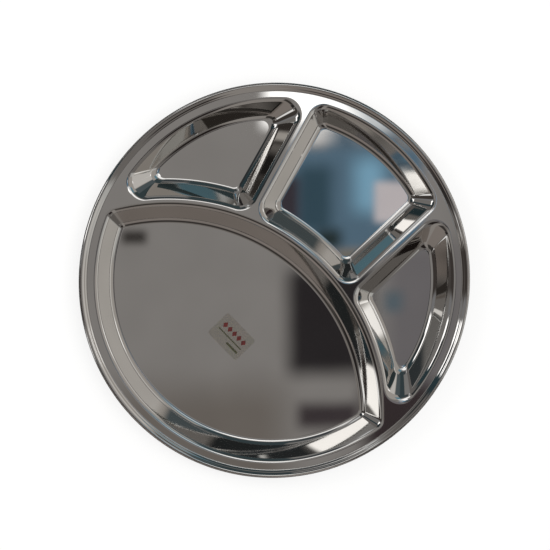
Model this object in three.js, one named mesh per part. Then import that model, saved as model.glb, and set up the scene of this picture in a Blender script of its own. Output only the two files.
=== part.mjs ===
// Round serving plate with four wells, pressed from one sheet of mirror-polished stainless steel.
// Millimetres and degrees, +Z up. The origin is on the table under the plate's centre,
// and +Y is the symmetry axis, which runs from the main well to the centre well.
import * as THREE from 'three';

// Plate and sheet
const plateRadius = 165; // plate's centre to the outside of the rolled edge
const sheet = 0.6; // thickness of the steel
const wellDepth = 16; // top of the land down to the inside of the floors

// Rim: a lip that rises from the land, and the rolled edge
const rimWidth = 7.2; // land to the outside of the roll
const lipSlope = 34; // rise of the lip above the level
const stepFillet = 2.6; // hollow fillet between the land and the lip
const curlRadius = 1.8; // outside of the roll
const curlReturn = 150; // how far the roll goes on underneath, past its widest point

// Land and the ribs between the wells
const landWidth = 4.3; // flat land between the lip and the mouths of the wells
const dividerRadius = 183.2; // curved rib beside the main well, along its crest
const dividerSetback = 147.5; // centre of that curve, behind the plate's centre
const dividerCrest = 0.8; // flat top of the curved rib
const sideRibOffset = 47.4; // plate's centre to the line of a straight rib
const sideRibSpread = 9.15; // lean of a straight rib away from the symmetry axis
const sideRibCrest = 2; // flat top of a straight rib

// Walls of the wells
const wallRun = 18.8; // edge of the mouth to edge of the floor, seen from above
const crestFillet = 5.6; // round between the land and the wall
const floorFillet = 7; // round between the wall and the floor
const mouthCorner = 14.5; // corners of the three small wells, at the land
const floorCorner = 5.5; // the same corners, at the floor
const tipMouthCorner = 10.5; // pointed ends of the main well, at the land
const tipFloorCorner = 4.5; // the same ends, at the floor

// Label stuck to the floor of the main well
const labelWidth = 34;
const labelHeight = 24;
const labelCorner = 2;
const labelFilm = 0.12; // thickness of the film
const labelDrop = 60; // plate's centre to the label's centre
const labelTurn = -8; // turn of the label on the floor

// Fineness of the facets
const rimSteps = 80; // round the plate
const facetLength = 9; // longest facet along a curved wall
const cornerSteps = 5;
const filletSteps = 4;
const curlSteps = [2, 3, 4]; // up to the crest, out to the widest point, and underneath

const radians = THREE.MathUtils.degToRad;
const mirrored = (point) => new THREE.Vector2(-point.x, point.y);
const polar = (angle, radius) => new THREE.Vector2(Math.cos(angle), Math.sin(angle)).multiplyScalar(radius);

// Places that follow from the dimensions above
const landHeight = sheet + wellDepth;
const landRadius = plateRadius - rimWidth;
const mouthRadius = landRadius - landWidth;

// An edge of a well's mouth is an arc with the well inside or outside its circle, or a straight line
const arcEdge = (centre, radius, wellInside) => ({ centre, radius, sign: wellInside ? 1 : -1 });
const lineEdge = (point, along) => ({ point, along, out: new THREE.Vector2(along.y, -along.x) });
const insetRadius = (edge, inset) => edge.radius - edge.sign * inset;

function outwardAt(edge, point) {
  if (edge.out) return edge.out.clone();
  return point.clone().sub(edge.centre).normalize().multiplyScalar(edge.sign);
}

// Where two edges cross after both have moved into the well by the inset
function crossing(first, second, inset, near) {
  const arc = first.out ? second : first;
  const other = first.out ? first : second;
  const radius = insetRadius(arc, inset);
  let middle;
  let step;
  if (other.out) {
    const point = other.point.clone().addScaledVector(other.out, -inset);
    const reach = arc.centre.clone().sub(point).dot(other.along);
    middle = point.addScaledVector(other.along, reach);
    step = other.along.clone();
  } else {
    const across = other.centre.clone().sub(arc.centre);
    const span = across.length();
    const reach = (radius ** 2 - insetRadius(other, inset) ** 2 + span ** 2) / (2 * span);
    middle = arc.centre.clone().addScaledVector(across, reach / span);
    step = new THREE.Vector2(-across.y, across.x).divideScalar(span);
  }
  const half = Math.sqrt(radius ** 2 - middle.distanceToSquared(arc.centre));
  const ends = [1, -1].map((side) => middle.clone().addScaledVector(step, side * half));
  return ends[0].distanceTo(near) < ends[1].distanceTo(near) ? ends[0] : ends[1];
}

// Angle turned from one direction to another, the given way round
function turnBetween(from, to, sign) {
  const turn = (to.angle() - from.angle()) * sign;
  return sign * THREE.MathUtils.euclideanModulo(turn, 2 * Math.PI);
}

function cornersOf(well, inset) {
  const { edges, near } = well;
  return edges.map((edge, i) => crossing(edge, edges[(i + 1) % edges.length], inset, near[i]));
}

function edgeSteps(edge, start, end) {
  if (edge.out) return 1;
  const turn = turnBetween(start.clone().sub(edge.centre), end.clone().sub(edge.centre), edge.sign);
  return Math.ceil((Math.abs(turn) * edge.radius) / facetLength);
}

// Closed outline of a well at a distance inside its mouth, anticlockwise from above
function outline(well, inset) {
  const { edges } = well;
  const round = THREE.MathUtils.lerp(well.mouthCorner, well.floorCorner, inset / wallRun);
  const corners = cornersOf(well, inset + round);
  const points = [];
  edges.forEach((edge, i) => {
    const start = corners.at(i - 1);
    const end = corners[i];
    const startOut = outwardAt(edge, start);
    const endOut = outwardAt(edge, end);
    const steps = well.steps[i];
    for (let k = 0; k < steps; k += 1) {
      if (edge.out) {
        points.push(start.clone().lerp(end, k / steps).addScaledVector(startOut, round));
      } else {
        const from = startOut.clone().multiplyScalar(edge.sign);
        const to = endOut.clone().multiplyScalar(edge.sign);
        const angle = from.angle() + (turnBetween(from, to, edge.sign) * k) / steps;
        points.push(polar(angle, insetRadius(edge, inset)).add(edge.centre));
      }
    }
    const nextOut = outwardAt(edges[(i + 1) % edges.length], end);
    for (let k = 0; k < cornerSteps; k += 1) {
      const angle = endOut.angle() + (turnBetween(endOut, nextOut, 1) * k) / cornerSteps;
      points.push(polar(angle, round).add(end));
    }
  });
  return points;
}

function makeWell(edges, near, corners) {
  const well = { edges, near, ...corners };
  const ends = cornersOf(well, well.mouthCorner);
  well.steps = edges.map((edge, i) => edgeSteps(edge, ends.at(i - 1), ends[i]));
  return well;
}

// Mouths of the four wells
const plateCentre = new THREE.Vector2(0, 0);
const dividerCentre = new THREE.Vector2(0, -dividerSetback);
const outerArc = arcEdge(plateCentre, mouthRadius, true);
const mainDivider = arcEdge(dividerCentre, dividerRadius - dividerCrest / 2, true);
const smallDivider = arcEdge(dividerCentre, dividerRadius + dividerCrest / 2, false);

const ribAlong = new THREE.Vector2(Math.sin(radians(sideRibSpread)), Math.cos(radians(sideRibSpread)));
const ribOut = new THREE.Vector2(ribAlong.y, -ribAlong.x);
const centreSide = ribOut.clone().multiplyScalar(sideRibOffset - sideRibCrest / 2);
const outerSide = ribOut.clone().multiplyScalar(sideRibOffset + sideRibCrest / 2);

// Rough places of the corners, which tell two crossings of the same edges apart
const rightEnd = new THREE.Vector2(mouthRadius, 0);
const ribTop = ribOut.clone().multiplyScalar(sideRibOffset).addScaledVector(ribAlong, mouthRadius);
const ribFoot = new THREE.Vector2(sideRibOffset, dividerRadius - dividerSetback);

const smallCorners = { mouthCorner, floorCorner };
const tipCorners = { mouthCorner: tipMouthCorner, floorCorner: tipFloorCorner };

const mainWell = makeWell([outerArc, mainDivider], [rightEnd, mirrored(rightEnd)], tipCorners);
const centreWell = makeWell(
  [
    outerArc,
    lineEdge(mirrored(centreSide), mirrored(ribAlong).negate()),
    smallDivider,
    lineEdge(centreSide, ribAlong),
  ],
  [mirrored(ribTop), mirrored(ribFoot), ribFoot, ribTop],
  smallCorners,
);
const leftWell = makeWell(
  [outerArc, smallDivider, lineEdge(mirrored(outerSide), mirrored(ribAlong))],
  [mirrored(rightEnd), mirrored(ribFoot), mirrored(ribTop)],
  smallCorners,
);
const rightWell = makeWell(
  [outerArc, lineEdge(outerSide, ribAlong.clone().negate()), smallDivider],
  [ribTop, ribFoot, rightEnd],
  smallCorners,
);

// Slope at which a straight wall joins the two fillets over the given run and depth
function wallSlope() {
  const fillets = crestFillet + floorFillet;
  const rise = wellDepth - fillets;
  const wall = Math.sqrt(wallRun ** 2 + rise ** 2 - fillets ** 2);
  return Math.atan2(rise, wallRun) + Math.atan2(fillets, wall);
}

// Section of a well's wall from mouth to floor, on the sheet's upper face or a depth below it
function wallSection(depth) {
  const slope = wallSlope();
  const section = [];
  for (let k = 0; k <= filletSteps; k += 1) {
    const angle = (slope * k) / filletSteps;
    const radius = crestFillet - depth;
    section.push({ inset: radius * Math.sin(angle), height: radius * Math.cos(angle) - crestFillet });
  }
  for (let k = filletSteps; k >= 0; k -= 1) {
    const angle = (slope * k) / filletSteps;
    const radius = floorFillet + depth;
    const height = floorFillet - wellDepth - radius * Math.cos(angle);
    section.push({ inset: wallRun - radius * Math.sin(angle), height });
  }
  return section;
}

// Pressed well: floor, wall and the trimmed edge at its mouth, as one closed sheet
function wellGeometry(well) {
  const section = [...wallSection(0).reverse(), ...wallSection(sheet)];
  const rings = section.map(({ inset, height }) => ({ points: outline(well, inset), height }));
  const count = rings[0].points.length;
  const positions = rings.flatMap(({ points, height }) => points.flatMap((p) => [p.x, p.y, height]));
  const index = [];
  for (let ring = 0; ring < rings.length - 1; ring += 1) {
    for (let k = 0; k < count; k += 1) {
      const next = (k + 1) % count;
      const [a, b] = [ring * count + k, ring * count + next];
      const [c, d] = [a + count, b + count];
      index.push(a, c, d, a, d, b);
    }
  }
  const lastRing = (rings.length - 1) * count;
  THREE.ShapeUtils.triangulateShape(rings[0].points, []).forEach(([a, b, c]) => index.push(a, b, c));
  THREE.ShapeUtils.triangulateShape(rings.at(-1).points, []).forEach(([a, b, c]) => {
    index.push(lastRing + c, lastRing + b, lastRing + a);
  });
  const geometry = new THREE.BufferGeometry();
  geometry.setAttribute('position', new THREE.Float32BufferAttribute(positions, 3));
  geometry.setIndex(index);
  geometry.computeVertexNormals();
  return geometry;
}

// Flat land round the wells, with the ribs between them
function deckGeometry(wells) {
  const edge = [];
  for (let k = 0; k < rimSteps; k += 1) edge.push(polar((2 * Math.PI * k) / rimSteps, landRadius));
  const shape = new THREE.Shape(edge);
  shape.holes = wells.map((well) => new THREE.Path(outline(well, 0)));
  return new THREE.ExtrudeGeometry(shape, { depth: sheet, bevelEnabled: false });
}

// Section of the rim, from the land up the lip, over the crest and round underneath
function curlSection(depth) {
  const section = [];
  const slope = radians(lipSlope);
  for (let k = 0; k <= filletSteps; k += 1) {
    const angle = (slope * k) / filletSteps;
    const radius = stepFillet + depth;
    const height = stepFillet - radius * Math.cos(angle);
    section.push(new THREE.Vector2(landRadius + radius * Math.sin(angle), height));
  }
  const rounds = stepFillet + curlRadius;
  const lipRun = rimWidth - curlRadius - rounds * Math.sin(slope);
  const curlHeight = stepFillet + lipRun * Math.tan(slope) - rounds * Math.cos(slope);
  const centre = new THREE.Vector2(plateRadius - curlRadius, curlHeight);
  const onCurl = (angle) => polar(angle, curlRadius - depth).add(centre);
  const crest = Math.PI / 2;
  const stops = [crest + slope, crest, 0, -radians(curlReturn)];
  curlSteps.forEach((steps, i) => {
    for (let k = 0; k < steps; k += 1) {
      section.push(onCurl(THREE.MathUtils.lerp(stops[i], stops[i + 1], k / steps)));
    }
  });
  section.push(onCurl(stops.at(-1)));
  return section;
}

function curlGeometry() {
  const section = [...curlSection(sheet), ...curlSection(0).reverse()];
  section.push(section[0].clone());
  return new THREE.LatheGeometry(section, rimSteps).rotateX(Math.PI / 2);
}

function labelGeometry() {
  const x = labelWidth / 2 - labelCorner;
  const y = labelHeight / 2 - labelCorner;
  const shape = new THREE.Shape();
  [[x, y], [-x, y], [-x, -y], [x, -y]].forEach(([cx, cy], i) => {
    shape.absarc(cx, cy, labelCorner, (i * Math.PI) / 2, ((i + 1) * Math.PI) / 2);
  });
  return new THREE.ExtrudeGeometry(shape, { depth: labelFilm, bevelEnabled: false, curveSegments: cornerSteps });
}

const polishedSteel = () => new THREE.MeshStandardMaterial({ color: 0xc4c0bb, roughness: 0.06, metalness: 1 });
const clearFilm = () => new THREE.MeshStandardMaterial({ color: 0xb9bb9c, roughness: 0.3, metalness: 0 });

const plate = new THREE.Group();

function addPiece(name, geometry, material, height) {
  const mesh = new THREE.Mesh(geometry, material);
  mesh.name = name;
  mesh.position.z = height;
  plate.add(mesh);
  return mesh;
}

addPiece('rolled_rim', curlGeometry(), polishedSteel(), landHeight);
addPiece('deck', deckGeometry([mainWell, leftWell, centreWell, rightWell]), polishedSteel(), wellDepth);
addPiece('main_well', wellGeometry(mainWell), polishedSteel(), landHeight);
addPiece('left_well', wellGeometry(leftWell), polishedSteel(), landHeight);
addPiece('centre_well', wellGeometry(centreWell), polishedSteel(), landHeight);
addPiece('right_well', wellGeometry(rightWell), polishedSteel(), landHeight);

const label = addPiece('label_film', labelGeometry(), clearFilm(), sheet);
label.position.y = -labelDrop;
label.rotation.z = radians(labelTurn);

export default plate;
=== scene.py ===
import cmath
import math

import bpy
import numpy as np
from mathutils import Matrix, Vector
from mathutils.geometry import delaunay_2d_cdt


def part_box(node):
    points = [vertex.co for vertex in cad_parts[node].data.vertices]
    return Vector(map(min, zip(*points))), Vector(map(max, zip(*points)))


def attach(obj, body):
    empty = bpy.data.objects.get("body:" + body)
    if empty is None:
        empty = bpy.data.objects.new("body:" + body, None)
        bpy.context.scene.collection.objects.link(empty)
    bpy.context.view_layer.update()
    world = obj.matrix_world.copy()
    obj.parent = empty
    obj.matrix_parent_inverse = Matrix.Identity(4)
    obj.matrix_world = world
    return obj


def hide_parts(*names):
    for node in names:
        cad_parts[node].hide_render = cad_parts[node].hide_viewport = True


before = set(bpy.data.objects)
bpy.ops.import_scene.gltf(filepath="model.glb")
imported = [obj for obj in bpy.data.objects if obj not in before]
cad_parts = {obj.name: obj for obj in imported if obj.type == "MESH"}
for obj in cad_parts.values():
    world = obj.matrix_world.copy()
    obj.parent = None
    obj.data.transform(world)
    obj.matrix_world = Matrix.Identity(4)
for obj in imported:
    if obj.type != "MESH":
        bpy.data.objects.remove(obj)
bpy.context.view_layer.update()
mm = 0.001
print("frame loaded:", len(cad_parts), "nodes")


def linear(hexColour):
    channels = [int(hexColour[i:i + 2], 16) / 255 for i in (1, 3, 5)]
    return [c / 12.92 if c <= 0.04045 else ((c + 0.055) / 1.055) ** 2.4 for c in channels] + [1]


def perMetre(size):
    return 1 / (size * mm)  # texture scale that repeats about once in that many millimetres


# One node: settings by attribute name, inputs by socket name, and an input that is a socket is linked
def addNode(material, kind, inputs=None, **settings):
    tree = material.node_tree
    node = tree.nodes.new(kind)
    for name, value in settings.items():
        setattr(node, name, value)
    for name, value in (inputs or {}).items():
        if isinstance(value, bpy.types.NodeSocket):
            tree.links.new(value, node.inputs[name])
        else:
            node.inputs[name].default_value = value
    return node


def newMaterial(name):
    material = bpy.data.materials.new(name)
    material.use_nodes = True
    material.node_tree.nodes.clear()
    return material


# Sets the two stops of a colour ramp, each a place and a colour
def rampColours(node, stops):
    for element, (place, colour) in zip(node.color_ramp.elements, stops):
        element.position = place
        element.color = colour
    return node


# Faces of a grid of points, row after row, with columns that close on themselves or stay open
def gridFaces(rows, columns, closed):
    faces = []
    for row in range(0, (rows - 1) * columns, columns):
        for k in range(columns if closed else columns - 1):
            after = (k + 1) % columns
            faces.append((row + k, row + after, row + columns + after, row + columns + k))
    return faces


def addMesh(name, points, faces, material):
    mesh = bpy.data.meshes.new(name)
    mesh.from_pydata([Vector(p) * mm for p in points], [], faces)
    mesh.materials.append(material)
    made = bpy.data.objects.new(name, mesh)
    bpy.context.collection.objects.link(made)
    return made


# A piece of the plate is smooth where the directions of its surface are given, and flat otherwise
def addPiece(name, points, faces, normals, material):
    piece = addMesh(name, points, faces, material)
    if normals is not None:
        piece.data.shade_smooth()
        piece.data.normals_split_custom_set_from_vertices([Vector(n) for n in normals])
    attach(piece, "root")
    return piece


# The plate: one sheet pressed into four wells, with its edge rolled over
plate = {
    "sheet": 0.6,  # thickness of the steel
    "rimWidth": 7.2,  # lip and roll, outside the land
    "curlRadius": 1.8,  # outside of the rolled edge
    "lipSlope": 34,  # lip that rises from the land to the roll
    "waveHeight": 0.11,  # shallow double step in the lip
    "wavePitch": 2.6,
    "waveMiddle": 160.2,  # from the plate's centre
    "stepFillet": 2.6,  # hollow fillet between the land and the lip
    "curlReturn": 150,  # how far the roll goes on underneath, past its widest point
    "cutRound": 0.2,  # worn-round cut edge of the sheet inside the roll
    "landWidth": 4.3,  # flat land between the lip and the mouths of the wells
    "dividerRadius": 183.2,  # curved rib beside the main well
    "dividerSetback": 147.5,
    "dividerCrest": 0.8,
    "sideRibOffset": 47.4,  # straight ribs between the small wells
    "sideRibSpread": 9.15,
    "sideRibCrest": 2,
    "wallRun": 18.8,  # mouth to floor, seen from above
    "crestFillet": 5.6,
    "floorFillet": 7,
    "mouthCorner": 14.5,  # corners of the small wells at the land and at the floor
    "floorCorner": 5.5,
    "tipMouthCorner": 10.5,  # pointed ends of the main well, at the land and at the floor
    "tipFloorCorner": 4.5,
    "roundSteps": 360,  # fineness
    "facet": 2,
    "cornerSteps": 16,
    "filletSteps": 12,
    "wallSteps": 6,
    "lipSteps": 16,
    "curlSteps": 44,
}
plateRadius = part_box("rolled_rim")[1][0] / mm
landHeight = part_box("deck")[1][2] / mm
wellDepth = landHeight - plate["sheet"]
landRadius = plateRadius - plate["rimWidth"]
mouthRadius = landRadius - plate["landWidth"]


# Points in plan are complex numbers. An edge of a mouth is a line, or an arc with the well inside it
# or outside it.
def arcEdge(centre, radius, wellInside):
    return {"centre": centre, "radius": radius, "sign": 1 if wellInside else -1}


def lineEdge(point, along):
    return {"point": point, "along": along}


def insetRadius(edge, inset):
    return edge["radius"] - edge["sign"] * inset


def outwardAt(edge, point):
    if "along" in edge:
        return -1j * edge["along"]
    away = point - edge["centre"]
    return edge["sign"] * away / abs(away)


def turned(start, end, way):
    return way * ((way * cmath.phase(end / start)) % (2 * math.pi))


def mirrored(point):
    return -point.conjugate()


# Where two edges cross after both have moved into the well by the inset
def crossing(first, second, inset, near):
    arc, other = (second, first) if "along" in first else (first, second)
    radius = insetRadius(arc, inset)
    if "along" in other:
        step = other["along"]
        start = other["point"] - inset * outwardAt(other, 0)
        middle = start + step * ((arc["centre"] - start) * step.conjugate()).real
    else:
        across = other["centre"] - arc["centre"]
        span = abs(across)
        reach = (radius ** 2 - insetRadius(other, inset) ** 2 + span ** 2) / (2 * span)
        middle = arc["centre"] + across * reach / span
        step = 1j * across / span
    half = math.sqrt(radius ** 2 - abs(middle - arc["centre"]) ** 2)
    return min(middle + step * half, middle - step * half, key=lambda end: abs(end - near))


def cornersOf(well, inset):
    edges = well["edges"]
    following = edges[1:] + edges[:1]
    return [crossing(a, b, inset, near) for a, b, near in zip(edges, following, well["near"])]


# Outline of a well at a distance inside its mouth, anticlockwise, and the outward direction at each point
def outline(well, inset):
    edges = well["edges"]
    corner = np.interp(inset, (0, plate["wallRun"]), (well["mouthCorner"], well["floorCorner"]))
    ends = cornersOf(well, inset + corner)
    bend = np.arange(plate["cornerSteps"]) / plate["cornerSteps"]
    points = []
    outward = []
    for i, edge in enumerate(edges):
        start, end = ends[i - 1], ends[i]
        startOut, endOut = outwardAt(edge, start), outwardAt(edge, end)
        share = np.arange(well["steps"][i]) / well["steps"][i]
        if "along" in edge:
            facing = np.full(len(share), startOut)
            points.append(start + (end - start) * share + corner * startOut)
        else:
            facing = startOut * np.exp(1j * turned(startOut, endOut, edge["sign"]) * share)
            points.append(edge["centre"] + edge["sign"] * insetRadius(edge, inset) * facing)
        nextOut = outwardAt(edges[(i + 1) % len(edges)], end)
        around = endOut * np.exp(1j * turned(endOut, nextOut, 1) * bend)
        points.append(end + corner * around)
        outward += [facing, around]
    return np.concatenate(points), np.concatenate(outward)


def makeWell(edges, near, mouthCorner, floorCorner):
    well = {"edges": edges, "near": near, "mouthCorner": mouthCorner, "floorCorner": floorCorner}
    ends = cornersOf(well, mouthCorner)
    lengths = [abs(ends[i] - ends[i - 1]) for i in range(len(edges))]
    well["steps"] = [math.ceil(length / plate["facet"]) for length in lengths]
    return well


def makeWells():
    dividerCentre = -1j * plate["dividerSetback"]
    crest, ribCrest = plate["dividerCrest"] / 2, plate["sideRibCrest"] / 2
    rim = arcEdge(0, mouthRadius, True)
    mainSide = arcEdge(dividerCentre, plate["dividerRadius"] - crest, True)
    smallSide = arcEdge(dividerCentre, plate["dividerRadius"] + crest, False)
    along = cmath.rect(1, math.radians(90 - plate["sideRibSpread"]))
    out = -1j * along
    inner = out * (plate["sideRibOffset"] - ribCrest)
    outer = out * (plate["sideRibOffset"] + ribCrest)
    ribFoot = plate["sideRibOffset"] + 1j * (plate["dividerRadius"] - plate["dividerSetback"])
    ribTop = out * plate["sideRibOffset"] + along * mouthRadius
    small = plate["mouthCorner"], plate["floorCorner"]
    tips = plate["tipMouthCorner"], plate["tipFloorCorner"]
    centreEdges = [rim, lineEdge(mirrored(inner), -mirrored(along)), smallSide, lineEdge(inner, along)]
    leftEdges = [rim, smallSide, lineEdge(mirrored(outer), mirrored(along))]
    rightEdges = [rim, lineEdge(outer, -along), smallSide]
    return [
        makeWell([rim, mainSide], [mouthRadius, -mouthRadius], *tips),
        makeWell(leftEdges, [-mouthRadius, mirrored(ribFoot), mirrored(ribTop)], *small),
        makeWell(centreEdges, [mirrored(ribTop), mirrored(ribFoot), ribFoot, ribTop], *small),
        makeWell(rightEdges, [ribTop, ribFoot, mouthRadius], *small),
    ]


# Wall from mouth to floor: inset, drop below the land and slope of the steel at each step
def wallProfile():
    crest, floor, run = plate["crestFillet"], plate["floorFillet"], plate["wallRun"]
    rise = wellDepth - crest - floor
    straight = math.sqrt(run ** 2 + rise ** 2 - (crest + floor) ** 2)
    slope = math.atan2(rise, run) + math.atan2(crest + floor, straight)
    angles = slope * np.arange(plate["filletSteps"] + 1) / plate["filletSteps"]
    down = np.arange(1, plate["wallSteps"]) / plate["wallSteps"] * straight
    top = np.stack([crest * np.sin(angles), crest * (1 - np.cos(angles)), angles], 1)
    wall = top[-1] + np.stack([down * math.cos(slope), down * math.sin(slope), down * 0], 1)
    foot = np.stack([run - floor * np.sin(angles), wellDepth - floor * (1 - np.cos(angles)), angles], 1)
    return np.concatenate([top, wall, foot[::-1]])


# Rings of a well's upper face with the true direction of the surface, so that the reflections run clean
def wellRings(well):
    nudge = 0.01
    points, normals = [], []
    for inset, drop, slope in wallProfile():
        at, outward = outline(well, inset)
        spread = outline(well, inset - nudge)[0] - outline(well, inset + nudge)[0]
        lean = (spread * outward.conjugate()).real / (2 * nudge)
        across = -outward * math.sin(slope)
        normal = np.stack([across.real, across.imag, lean * math.cos(slope)], 1)
        points.append(np.stack([at.real, at.imag, np.full(len(at), landHeight - drop)], 1))
        normals.append(normal / np.linalg.norm(normal, axis=1, keepdims=True))
    return points, normals


# Section of the rim: radius, height, and the direction of its upper face
def curlProfile():
    slope = math.radians(plate["lipSlope"])
    step, roll = plate["stepFillet"], plate["curlRadius"]
    curlCentre = plateRadius - roll
    lipRun = curlCentre - landRadius - (step + roll) * math.sin(slope)
    curlHeight = landHeight + step + lipRun * math.tan(slope) - (step + roll) * math.cos(slope)
    foot = slope * np.arange(plate["filletSteps"] + 1) / plate["filletSteps"]
    fillet = np.stack([landRadius + step * np.sin(foot), landHeight + step * (1 - np.cos(foot)),
                       -np.sin(foot), np.cos(foot)], 1)
    angles = np.linspace(math.pi / 2 + slope, -math.radians(plate["curlReturn"]), plate["curlSteps"])
    curl = np.stack([curlCentre + roll * np.cos(angles), curlHeight + roll * np.sin(angles),
                     np.cos(angles), np.sin(angles)], 1)
    up = np.arange(1, plate["lipSteps"])[:, None] / plate["lipSteps"]
    section = np.concatenate([fillet, fillet[-1] + (curl[0] - fillet[-1]) * up, curl])

    # A shallow wave parts the lip into two steps and dies out at the land and on the roll
    span = curlCentre - landRadius
    along = np.clip((section[:, 0] - landRadius) / span, 0, 1) * (section[:, 3] > 0)
    turn = 2 * math.pi * (section[:, 0] - plate["waveMiddle"]) / plate["wavePitch"]
    share = np.sin(math.pi * along) ** 2
    steeper = 2 * math.pi / plate["wavePitch"] * np.cos(turn) * share
    steeper += math.pi / span * np.sin(2 * math.pi * along) * np.sin(turn)
    section[:, 1] -= plate["waveHeight"] * np.sin(turn) * share
    section[:, 2] += plate["waveHeight"] * steeper * section[:, 3]
    section[:, 2:] /= np.linalg.norm(section[:, 2:], axis=1, keepdims=True)
    return section


# Rings of the rolled edge, from its cut end inside the roll to the land
def rimRings():
    circle = np.exp(2j * math.pi * np.arange(plate["roundSteps"]) / plate["roundSteps"])
    flat = np.stack([circle.real, circle.imag, 0 * circle.real], 1)
    upright = np.array([0, 0, 1])
    profile = curlProfile()[::-1]
    points = [radius * flat + height * upright for radius, height, out, up in profile]
    normals = [out * flat + up * upright for radius, height, out, up in profile]
    return points, normals


# Triangles of the flat land: what lies inside the last border and in none of the mouths
def landFaces(points, borders):
    insideOnly, tolerance = 1, 1e-6
    order = [v for border in borders for v in border]
    flat = [Vector(points[v][:2]) for v in order]
    place = {v: i for i, v in enumerate(order)}
    outlines = [[place[v] for v in border] for border in borders]
    found = delaunay_2d_cdt(flat, [], outlines, insideOnly, tolerance)
    triangles, origins, within = found[2], found[3], found[5]
    land = [len(borders) - 1]
    onLand = [triangle for triangle, at in zip(triangles, within) if at == land]
    return [tuple(order[origins[v][0]] for v in triangle) for triangle in onLand]


def buildPlate(material):
    points, normals, faces, borders = [], [], [], []

    # Adds rings that each lie inside the one before, and gives the points of the first and the last ring
    def addRings(rings, facing):
        first, count = len(points), len(rings[0])
        for ring, directions in zip(rings, facing):
            points.extend(ring)
            normals.extend(directions)
        faces.extend(tuple(first + v for v in face) for face in gridFaces(len(rings), count, True))
        return range(first, first + count), range(len(points) - count, len(points))

    for well in makeWells():
        mouth, floor = addRings(*wellRings(well))
        borders.append(mouth)
        faces.append(tuple(floor))
    cut, land = addRings(*rimRings())
    borders.append(land)
    faces += landFaces(points, borders)
    upper = len(points)
    faces += [tuple(v + upper for v in reversed(face)) for face in faces]
    points += [point - plate["sheet"] * normal for point, normal in zip(points, normals)]
    normals += [-normal for normal in normals]

    # Rounds the cut edge of the sheet over from the upper to the lower face
    lip = len(points)
    for k, v in enumerate(cut):
        circling = np.cross(normals[v], points[cut[k - 1]] - points[v])
        onward = circling / np.linalg.norm(circling)
        points.append((points[v] + points[v + upper]) / 2 + plate["cutRound"] * onward)
        normals.append(onward)
    for k, v in enumerate(cut):
        w = cut[(k + 1) % len(cut)]
        edge, beyond = lip + k, lip + (k + 1) % len(cut)
        faces += [(w, v, edge, beyond), (beyond, edge, v + upper, w + upper)]
    piece = addPiece("pressed_plate", points, faces, normals, material)
    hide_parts("rolled_rim", "deck", "main_well", "left_well", "centre_well", "right_well")


# Stainless steel, rolled, pressed and buffed to a mirror: it shows its surroundings in crisp reflections
# that bend a little where the sheet was drawn, with a faint haze along the buffing lines.
steelFinish = {
    "tones": ("#d2d0cd", "#d8d6d3"),
    "drawnPatch": 45,  # breadth and height of the patches that bend the reflections
    "drawnHeight": 0.02,
    "buffLength": 30,  # length and width of the buffing lines
    "buffWidth": 0.9,
    "haze": (0.031, 0.039),  # roughness beside the lines and along them
    "noiseSpan": (0.3, 0.7),  # most of a noise lies between these values
}


def buffedStainless():
    steel = newMaterial("buffed_stainless_sheet")
    place = addNode(steel, "ShaderNodeTexCoord").outputs["Object"]
    low, high = steelFinish["noiseSpan"]
    dark, light = steelFinish["tones"]
    drawn = addNode(steel, "ShaderNodeTexNoise",
                    {"Vector": place, "Scale": perMetre(steelFinish["drawnPatch"]), "Detail": 1})
    narrowing = steelFinish["buffLength"] / steelFinish["buffWidth"]
    stretch = addNode(steel, "ShaderNodeMapping", {"Vector": place, "Scale": (1, narrowing, 1)})
    lines = addNode(steel, "ShaderNodeTexNoise", {
        "Vector": stretch.outputs["Vector"],
        "Scale": perMetre(steelFinish["buffLength"]),
        "Detail": 3,
    })
    tone = rampColours(addNode(steel, "ShaderNodeValToRGB", {"Fac": drawn.outputs["Fac"]}),
                       [(low, linear(dark)), (high, linear(light))])
    haze = addNode(steel, "ShaderNodeMapRange", {
        "Value": lines.outputs["Fac"],
        "From Min": low,
        "From Max": high,
        "To Min": steelFinish["haze"][0],
        "To Max": steelFinish["haze"][1],
    })
    bend = addNode(steel, "ShaderNodeBump", {
        "Height": drawn.outputs["Fac"],
        "Strength": 1,
        "Distance": steelFinish["drawnHeight"] * mm,
    })
    shader = addNode(steel, "ShaderNodeBsdfPrincipled", {
        "Base Color": tone.outputs["Color"],
        "Metallic": 1,
        "Roughness": haze.outputs["Result"],
        "Normal": bend.outputs["Normal"],
    })
    addNode(steel, "ShaderNodeOutputMaterial", {"Surface": shader.outputs["BSDF"]})
    return steel


buildPlate(buffedStainless())
print("plate built")


# The label: a clear film with plain printed marks, stuck to the floor of the main well
label = {
    "width": 34,
    "height": 24,
    "corner": 2,
    "turn": -8,
    "edge": 0.05,  # softened upper edge of the film
    "ink": 0.02,  # thickness of the print on it
    "glue": 0.02,  # film's underside over the steel
    "lozenge": (4.6, 5.6),  # red marks, in a row
    "lozenges": 5,
    "lozengePitch": 5.4,
    "lozengeRise": 3.4,  # middle of the row above the label's middle
    "rule": (27, 1.0),  # olive rule under the row
    "rulePlace": (0, -2.2),
    "bar": (13, 1.8),  # short olive bar at the lower right
    "barPlace": (7, -6.6),
    "markRound": 0.4,  # corners of the rule and the bar, as a share of their height
    "filmCloud": 14,  # breadth of the cloudy patches in the film and of the mottles in the ink
    "inkMottle": 1.5,
    "cornerSteps": 8,
}
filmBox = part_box("label_film")
filmCentre = (filmBox[0] + filmBox[1]) / 2 / mm
filmTop = filmBox[1][2] / mm


def onLabel(x, y, height):
    at = complex(x, y) * cmath.rect(1, math.radians(label["turn"]))
    return at.real + filmCentre.x, at.imag + filmCentre.y, height


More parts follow.
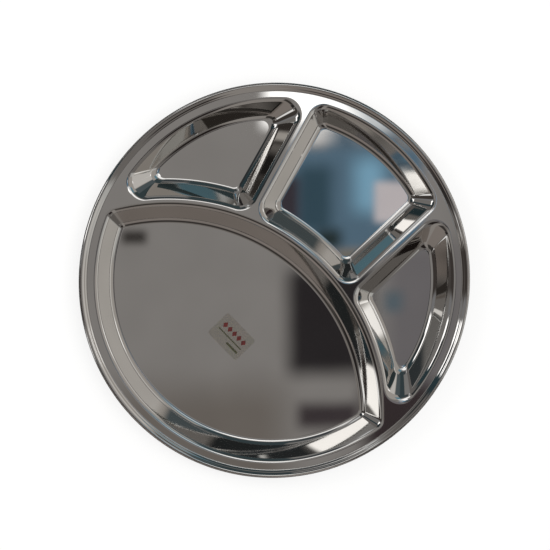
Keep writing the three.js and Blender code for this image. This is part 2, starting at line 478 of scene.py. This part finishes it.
def roundedOutline(width, height, corner):
    quarter = np.linspace(0, math.pi / 2, label["cornerSteps"])
    centres = [(1, 1), (-1, 1), (-1, -1), (1, -1)]
    points = []
    for i, (sideX, sideY) in enumerate(centres):
        x, y = sideX * (width / 2 - corner), sideY * (height / 2 - corner)
        points += [(x + corner * math.cos(a + i * math.pi / 2), y + corner * math.sin(a + i * math.pi / 2))
                   for a in quarter]
    return points


# Flat patch from rings of one outline: closed below, around and above
def patchMesh(rings):
    count = len(rings[0])
    points = [point for ring in rings for point in ring]
    below = tuple(reversed(range(count)))
    above = tuple(range(len(points) - count, len(points)))
    return points, [below, *gridFaces(len(rings), count, True), above]


def buildFilm(material):
    bottom = filmBox[0][2] / mm + label["glue"]
    levels = [(0, bottom), (0, filmTop - label["edge"]), (label["edge"], filmTop)]
    rings = []
    for inset, height in levels:
        edge = roundedOutline(label["width"] - 2 * inset, label["height"] - 2 * inset, label["corner"])
        rings.append([onLabel(x, y, height) for x, y in edge])
    points, faces = patchMesh(rings)
    film = addPiece("clear_label", points, faces, None, material)
    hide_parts("label_film")


def buildPrint(name, outlines, material):
    points, faces = [], []
    levels = (filmTop - label["ink"], filmTop + label["ink"])
    for mark in outlines:
        rings = [[onLabel(x, y, height) for x, y in mark] for height in levels]
        markPoints, markFaces = patchMesh(rings)
        faces += [tuple(v + len(points) for v in face) for face in markFaces]
        points += markPoints
    piece = addPiece(name, points, faces, None, material)


def shifted(shape, x, y):
    return [(px + x, py + y) for px, py in shape]


def lozengeRow():
    wide, tall = label["lozenge"]
    shape = [(wide / 2, 0), (0, tall / 2), (-wide / 2, 0), (0, -tall / 2)]
    middle = (label["lozenges"] - 1) / 2
    places = [(k - middle) * label["lozengePitch"] for k in range(label["lozenges"])]
    return [shifted(shape, x, label["lozengeRise"]) for x in places]


def oliveMarks():
    marks = [(label["rule"], label["rulePlace"]), (label["bar"], label["barPlace"])]
    return [shifted(roundedOutline(*size, size[1] * label["markRound"]), *place) for size, place in marks]


# Polypropylene film, cast and clear: almost unseen, with a faint olive tint and a smooth shine
def clearFilm():
    film = newMaterial("clear_polypropylene_film")
    place = addNode(film, "ShaderNodeTexCoord").outputs["Object"]
    cloud = addNode(film, "ShaderNodeTexNoise",
                    {"Vector": place, "Scale": perMetre(label["filmCloud"]), "Detail": 2})
    tint = rampColours(addNode(film, "ShaderNodeValToRGB", {"Fac": cloud.outputs["Fac"]}),
                       [(0.35, linear("#5c5b3c")), (0.65, linear("#685747"))])
    shader = addNode(film, "ShaderNodeBsdfPrincipled", {
        "Base Color": tint.outputs["Color"],
        "Roughness": 0.18,
        "IOR": 1.49,
        "Alpha": 0.09,
    })
    addNode(film, "ShaderNodeOutputMaterial", {"Surface": shader.outputs["BSDF"]})
    return film


# Flexographic ink on the film: thin and matt, a little mottled where the roller carried less
def printedInk(name, thin, full):
    ink = newMaterial(name)
    place = addNode(ink, "ShaderNodeTexCoord").outputs["Object"]
    mottle = addNode(ink, "ShaderNodeTexNoise",
                     {"Vector": place, "Scale": perMetre(label["inkMottle"]), "Detail": 2})
    tone = rampColours(addNode(ink, "ShaderNodeValToRGB", {"Fac": mottle.outputs["Fac"]}),
                       [(0.3, linear(full)), (0.75, linear(thin))])
    shader = addNode(ink, "ShaderNodeBsdfPrincipled",
                     {"Base Color": tone.outputs["Color"], "Roughness": 0.45, "IOR": 1.5})
    addNode(ink, "ShaderNodeOutputMaterial", {"Surface": shader.outputs["BSDF"]})
    return ink


buildFilm(clearFilm())
buildPrint("label_lozenges", lozengeRow(), printedInk("dark_red_ink", "#5c1a16", "#43110f"))
buildPrint("label_rules", oliveMarks(), printedInk("olive_ink", "#403f2a", "#2f2f1d"))
print("label built")


# Camera at the photograph's place: seen from above, a little towards the left of the main well
camera = {
    "place": (-195.7, -56.8, 1198.2),
    "aim": (-5.4, 2.8, 14.8),
    "pictureUp": 128.4,  # direction on the table that points up in the picture, from +X
    "lens": 94.1,
    "sensor": 36,
    "reach": 20000,
}


def addCamera():
    data = bpy.data.cameras.new("camera")
    data.lens = camera["lens"]
    data.sensor_width = camera["sensor"]
    data.clip_end = camera["reach"] * mm
    back = (Vector(camera["place"]) - Vector(camera["aim"])).normalized()
    bearing = math.radians(camera["pictureUp"])
    upward = Vector((math.cos(bearing), math.sin(bearing), 0))
    right = upward.cross(back).normalized()
    turn = Matrix((right, back.cross(right), back)).transposed().to_4x4()
    viewer = bpy.data.objects.new("camera", data)
    viewer.matrix_world = Matrix.Translation(Vector(camera["place"]) * mm) @ turn
    bpy.context.collection.objects.link(viewer)
    bpy.context.scene.camera = viewer


addCamera()
print("camera set")

# Studio: a pale floor in a white surround, a softbox and a fill lamp. A grey tent with plain cards
# stands round them. Tent and cards glow, though they are no lamps, and only reflections show them:
# in the steel they are painted reflections and painted highlights. They light nothing else and cast no
# shadow.
studio = {
    "floor": "#f3f2f0",
    "floorSpan": 6000,
    "floorLift": 0.75,  # share of plain white that is seen in the floor
    "worldLevel": 0.75,
    "softboxTowards": (192, 48),  # azimuth and angle off the zenith
    "softboxAway": 1100,
    "softboxSize": (430, 310),
    "softboxPower": 3,
    "fillPlace": (300, 500, 1900),
    "fillSize": (1600, 1600),
    "fillPower": 16,
}
tent = {
    "radius": 1300,
    "top": "#999694",
    "topEnds": (20, 26),  # angles off the zenith over which the top gives way to the sides
    "dim": "#7a7673",
    "bright": "#8a8886",
    "brightSide": 130,  # azimuth of the brightest side
    "sideSpread": 0.8,  # cosine of the turn from that side at which the sides are still at their brightest
    "firstRing": 0.5,  # angle off the zenith, closed by one face
    "rows": 31,
    "columns": 90,
    "cardRadius": 1200,
    "cardGap": 4,  # each card stands this far inside the one listed before it
    "cardStep": 4,  # degrees
    "level": 0.88,  # brightness of the tent and all its cards
}
# The cards glow, though they are no lamps: the white ones are painted highlights in the steel, the rest
# painted reflections
# Azimuth from and to, angle off the zenith from and to, colour, strength, soft edge
domeCards = {
    "warm_wall": (24, 90, 25, 89, "#b7b2ad", 1, 4),
    "light_strip": (7, 29, 34, 89, "#cbcbc9", 1, 4),
    "light_wall": (12, 77, 61, 89, "#dedbd7", 1, 4),
    "blue_slope": (63, 92, 27, 43, "#6f97a8", 1, 4),
    "light_low": (43, 56, 65, 74, "#ffffff", 2, 3),
    "top_glow": (61, 80, 16.5, 30, "#e4eaef", 1.1, 2.5),
    "top_strip": (74, 144, 15, 28, "#ffffff", 1.5, 3),
    "teal_wall": (86, 124, 33, 89, "#3f4c50", 1, 3),
    "teal_low": (76, 100, 62, 89, "#5a6468", 1, 3),
    "grey_wall": (121, 157, 26, 89, "#8f8e8d", 1, 4),
    "dark_slope": (120, 141, 32, 62, "#454b4f", 1, 3),
    "slope_high": (138, 146, 26, 40, "#f4f4f4", 1, 2),
    "slope_low": (146, 154, 40, 60, "#e6e8ea", 1, 2),
    "brown_left": (154, 181, 20, 89, "#74706e", 1, 4),
    "dark_high": (158, 214, 11, 46, "#35393b", 1, 4),
    "teal_edge": (176, 190, 14, 86, "#324349", 1, 3),
    "bright_side": (185, 209, 44, 61, "#ffffff", 2.2, 2),
    "bright_high": (198, 211, 31, 47, "#ffffff", 2, 2),
    "grey_right": (207, 219, 30, 86, "#8b8b8d", 1, 3),
    "brown_dark": (215, 247, 20, 89, "#47423f", 1, 4),
    "white_strip": (236, 249, 60, 89, "#ffffff", 1.2, 4),
    "strip_high": (234, 244, 42, 57, "#dcd8d4", 1, 3),
    "brown_low": (250, 340, 48, 89, "#938b86", 1, 6),
    "brown_high": (264, 322, 20, 50, "#423e3b", 1, 5),
    "black_slope": (247, 272, 22, 63, "#2b2928", 1, 5),
    "grey_far": (316, 340, 24, 89, "#a09b97", 1, 5),
    "brown_corner": (335, 360, 24, 57, "#2a2423", 1, 4),
}
# Overhead cards glow the same way: painted highlights where they are white, painted reflections elsewhere
# Middle across and up in the picture's directions, size, height, colour, strength, soft edge
overheadCards = {
    "top_low": ((40, -345), (430, 280), 1195, "#7f7974", 1, 100),
    "top_right": ((440, -150), (180, 330), 1193, "#7e7b7e", 1, 60),
    "top_corner": ((400, -310), (180, 170), 1191, "#40383a", 1, 50),
    "top_light": ((255, 222), (210, 115), 1190, "#ffffff", 2.2, 32),
    "blue_top": ((330, 152), (146, 84), 1188, "#62788a", 1, 30),
    "light_corner": ((238, 170), (140, 72), 1187, "#ffffff", 0.95, 60),
    "blue_middle": ((320, 60), (250, 200), 1185, "#648197", 1, 30),
    "blue_light": ((346, 84), (100, 140), 1180, "#8fc2e0", 1, 50),
    "blue_deep": ((252, 62), (100, 150), 1178, "#405a69", 1, 40),
    "purple_corner": ((204, 50), (70, 120), 1177, "#443f47", 1, 26),
    "blue_foot": ((276, -6), (76, 64), 1176, "#2e3a3b", 1, 32),
    "grey_foot": ((314, -38), (60, 46), 1175, "#86837c", 1, 20),
    "pale": ((386, 55), (84, 88), 1174, "#e2dbdf", 1, 20),
    "dark_screen": ((280, -146), (190, 226), 1185, "#322f31", 1, 46),
    "dark_foot": ((276, -306), (136, 74), 1180, "#463f42", 1, 32),
    "dark_tip": ((-50, -2), (60, 42), 1180, "#3f3c3a", 1, 20),
    "blue_side": ((389, -114), (58, 62), 1180, "#66757f", 1, 28),
}
# Dark ring on the floor that only reflections show: a painted dark reflection, which draws the plate's
# outer edge in its own reflection
darkReflectionRing = {"inside": 150, "outside": 420, "height": 0.3, "colour": "#1e1e1e", "steps": 96}
pictureRight = camera["pictureUp"] - 90


def addStage(name, points, faces, material):
    piece = addMesh(name, points, faces, material)
    return piece


def onlyReflected(piece):
    piece.visible_camera = False
    piece.visible_diffuse = False
    piece.visible_shadow = False


# What the camera, reflections and clear film see of the white surround
def seenDirectly(material):
    rays = addNode(material, "ShaderNodeLightPath").outputs
    glossy = addNode(material, "ShaderNodeMath",
                     {0: rays["Is Camera Ray"], 1: rays["Is Glossy Ray"]}, operation="MAXIMUM")
    seen = addNode(material, "ShaderNodeMath",
                   {0: glossy.outputs["Value"], 1: rays["Is Transmission Ray"]}, operation="MAXIMUM")
    return seen.outputs["Value"]


def addFloor():
    paint = newMaterial("pale_floor")
    matt = addNode(paint, "ShaderNodeBsdfDiffuse", {"Color": linear(studio["floor"])})
    white = addNode(paint, "ShaderNodeEmission", {"Strength": 1})
    share = addNode(paint, "ShaderNodeMath",
                    {0: seenDirectly(paint), 1: studio["floorLift"]}, operation="MULTIPLY")
    mix = addNode(paint, "ShaderNodeMixShader",
                  {0: share.outputs["Value"], 1: matt.outputs["BSDF"], 2: white.outputs["Emission"]})
    addNode(paint, "ShaderNodeOutputMaterial", {"Surface": mix.outputs["Shader"]})
    half = studio["floorSpan"] / 2
    corners = [(-half, -half, 0), (half, -half, 0), (half, half, 0), (-half, half, 0)]
    addStage("floor", corners, [(0, 1, 2, 3)], paint)


def addWorld():
    world = bpy.data.worlds.new("white_surround")
    world.use_nodes = True
    world.node_tree.nodes.clear()
    level = addNode(world, "ShaderNodeMapRange",
                    {"Value": seenDirectly(world), "To Min": studio["worldLevel"], "To Max": 1})
    light = addNode(world, "ShaderNodeBackground",
                    {"Color": (1, 1, 1, 1), "Strength": level.outputs["Result"]})
    addNode(world, "ShaderNodeOutputWorld", {"Surface": light.outputs["Background"]})
    bpy.context.scene.world = world


def onDome(azimuth, zenith, radius):
    a, z = math.radians(azimuth), math.radians(zenith)
    return Vector((math.sin(z) * math.cos(a), math.sin(z) * math.sin(a), math.cos(z))) * radius


# The tent glows, though it is no lamp: it is a painted reflection in the steel. Its colour runs from its
# top down its sides, which are brighter towards one direction
def glowingTent():
    cloth = newMaterial("glowing_grey_tent")
    place = addNode(cloth, "ShaderNodeTexCoord").outputs["Object"]
    towards = addNode(cloth, "ShaderNodeVectorMath", {0: place}, operation="NORMALIZE").outputs["Vector"]
    sideways = addNode(cloth, "ShaderNodeVectorMath",
                       {0: towards, 1: onDome(tent["brightSide"], 90, 1)}, operation="DOT_PRODUCT")
    facing = addNode(cloth, "ShaderNodeMapRange", {
        "Value": sideways.outputs["Value"],
        "From Min": -tent["sideSpread"],
        "From Max": tent["sideSpread"],
    })
    sides = rampColours(addNode(cloth, "ShaderNodeValToRGB", {"Fac": facing.outputs["Result"]}),
                        [(0, linear(tent["dim"])), (1, linear(tent["bright"]))])
    height = addNode(cloth, "ShaderNodeSeparateXYZ", {"Vector": towards}).outputs["Z"]
    topEnds = [math.cos(math.radians(angle)) for angle in tent["topEnds"]]
    below = addNode(cloth, "ShaderNodeMapRange",
                    {"Value": height, "From Min": topEnds[0], "From Max": topEnds[1]},
                    interpolation_type="SMOOTHSTEP")
    colour = addNode(cloth, "ShaderNodeMixRGB", {
        "Fac": below.outputs["Result"],
        "Color1": linear(tent["top"]),
        "Color2": sides.outputs["Color"],
    })
    glow = addNode(cloth, "ShaderNodeEmission",
                   {"Color": colour.outputs["Color"], "Strength": tent["level"]})
    addNode(cloth, "ShaderNodeOutputMaterial", {"Surface": glow.outputs["Emission"]})
    return cloth


def addTent():
    rows, columns = tent["rows"], tent["columns"]
    points = [onDome(360 * c / columns, zenith, tent["radius"])
              for zenith in np.linspace(tent["firstRing"], 90, rows) for c in range(columns)]
    faces = gridFaces(rows, columns, True)
    faces.append(tuple(range(columns)))
    onlyReflected(addStage("tent", points, faces, glowingTent()))


# A card glows evenly and fades out over its soft edges, given as shares of its two sides
def cardMaterial(name, colour, strength, soft):
    card = newMaterial("card_" + name)
    place = addNode(card, "ShaderNodeTexCoord").outputs["UV"]
    across = addNode(card, "ShaderNodeSeparateXYZ", {"Vector": place})
    middle = 0.5
    fades = []
    for axis, share in zip("XY", soft):
        offset = addNode(card, "ShaderNodeMath", {0: across.outputs[axis], 1: middle}, operation="SUBTRACT")
        distance = addNode(card, "ShaderNodeMath", {0: offset.outputs["Value"]}, operation="ABSOLUTE")
        fades.append(addNode(card, "ShaderNodeMapRange", {
            "Value": distance.outputs["Value"],
            "From Min": middle,
            "From Max": middle - min(share, middle),
        }, interpolation_type="SMOOTHSTEP").outputs["Result"])
    cover = addNode(card, "ShaderNodeMath", {0: fades[0], 1: fades[1]}, operation="MULTIPLY")
    clear = addNode(card, "ShaderNodeBsdfTransparent")
    glow = addNode(card, "ShaderNodeEmission",
                   {"Color": linear(colour), "Strength": strength * tent["level"]})
    mix = addNode(card, "ShaderNodeMixShader",
                  {0: cover.outputs["Value"], 1: clear.outputs["BSDF"], 2: glow.outputs["Emission"]})
    addNode(card, "ShaderNodeOutputMaterial", {"Surface": mix.outputs["Shader"]})
    return card


# A card from a grid of points, with its sides running from 0 to 1 in the texture
def addCard(name, points, rows, columns, material):
    card = addStage(name, points, gridFaces(rows, columns, False), material)
    layer = card.data.uv_layers.new()
    for loop in card.data.loops:
        row, column = divmod(loop.vertex_index, columns)
        layer.uv[loop.index].vector = (column / (columns - 1), row / (rows - 1))
    onlyReflected(card)


def addDomeCard(name, radius, start, end, high, low, colour, strength, soft):
    rows = math.ceil((low - high) / tent["cardStep"]) + 1
    columns = math.ceil((end - start) / tent["cardStep"]) + 1
    points = [onDome(azimuth, zenith, radius)
              for zenith in np.linspace(high, low, rows) for azimuth in np.linspace(start, end, columns)]
    narrowing = math.sin(math.radians((high + low) / 2))
    material = cardMaterial(name, colour, strength, (soft / narrowing / (end - start), soft / (low - high)))
    addCard(name, points, rows, columns, material)


def addOverheadCard(name, middle, size, height, colour, strength, soft):
    turn = cmath.rect(1, math.radians(pictureRight))
    halves = (-0.5, 0.5)
    points = []
    for up in halves:
        for along in halves:
            at = complex(middle[0] + along * size[0], middle[1] + up * size[1]) * turn
            points.append((at.real, at.imag, height))
    addCard(name, points, 2, 2, cardMaterial(name, colour, strength, (soft / size[0], soft / size[1])))


def addDarkReflectionRing():
    dark = newMaterial("painted_reflection_card")
    glow = addNode(dark, "ShaderNodeEmission", {"Color": linear(darkReflectionRing["colour"])})
    addNode(dark, "ShaderNodeOutputMaterial", {"Surface": glow.outputs["Emission"]})
    steps = darkReflectionRing["steps"]
    points = [onDome(360 * k / steps, 90, radius) + Vector((0, 0, darkReflectionRing["height"]))
              for radius in (darkReflectionRing["inside"], darkReflectionRing["outside"]) for k in range(steps)]
    onlyReflected(addStage("painted_reflection_ring", points, gridFaces(2, steps, True), dark))


def addLamp(name, place, width, height, power):
    data = bpy.data.lights.new(name, "AREA")
    data.shape = "RECTANGLE"
    data.size = width * mm
    data.size_y = height * mm
    data.energy = power
    lamp = bpy.data.objects.new(name, data)
    at = Vector(place) * mm
    lamp.matrix_world = Matrix.Translation(at) @ at.to_track_quat("Z", "Y").to_matrix().to_4x4()
    # Lamps are hidden from reflections: the steel's highlights are painted by the glowing cards
    lamp.visible_glossy = False  # the steel shows the tent instead
    bpy.context.collection.objects.link(lamp)


addFloor()
addWorld()
addTent()
addDarkReflectionRing()
for order, (name, card) in enumerate(domeCards.items()):
    addDomeCard(name, tent["cardRadius"] - order * tent["cardGap"], *card)
for name, card in overheadCards.items():
    addOverheadCard(name, *card)
softboxPlace = onDome(*studio["softboxTowards"], studio["softboxAway"])
addLamp("softbox", softboxPlace, *studio["softboxSize"], studio["softboxPower"])
addLamp("fill", studio["fillPlace"], *studio["fillSize"], studio["fillPower"])
print("studio set")

bpy.context.scene.view_settings.view_transform = "Standard"
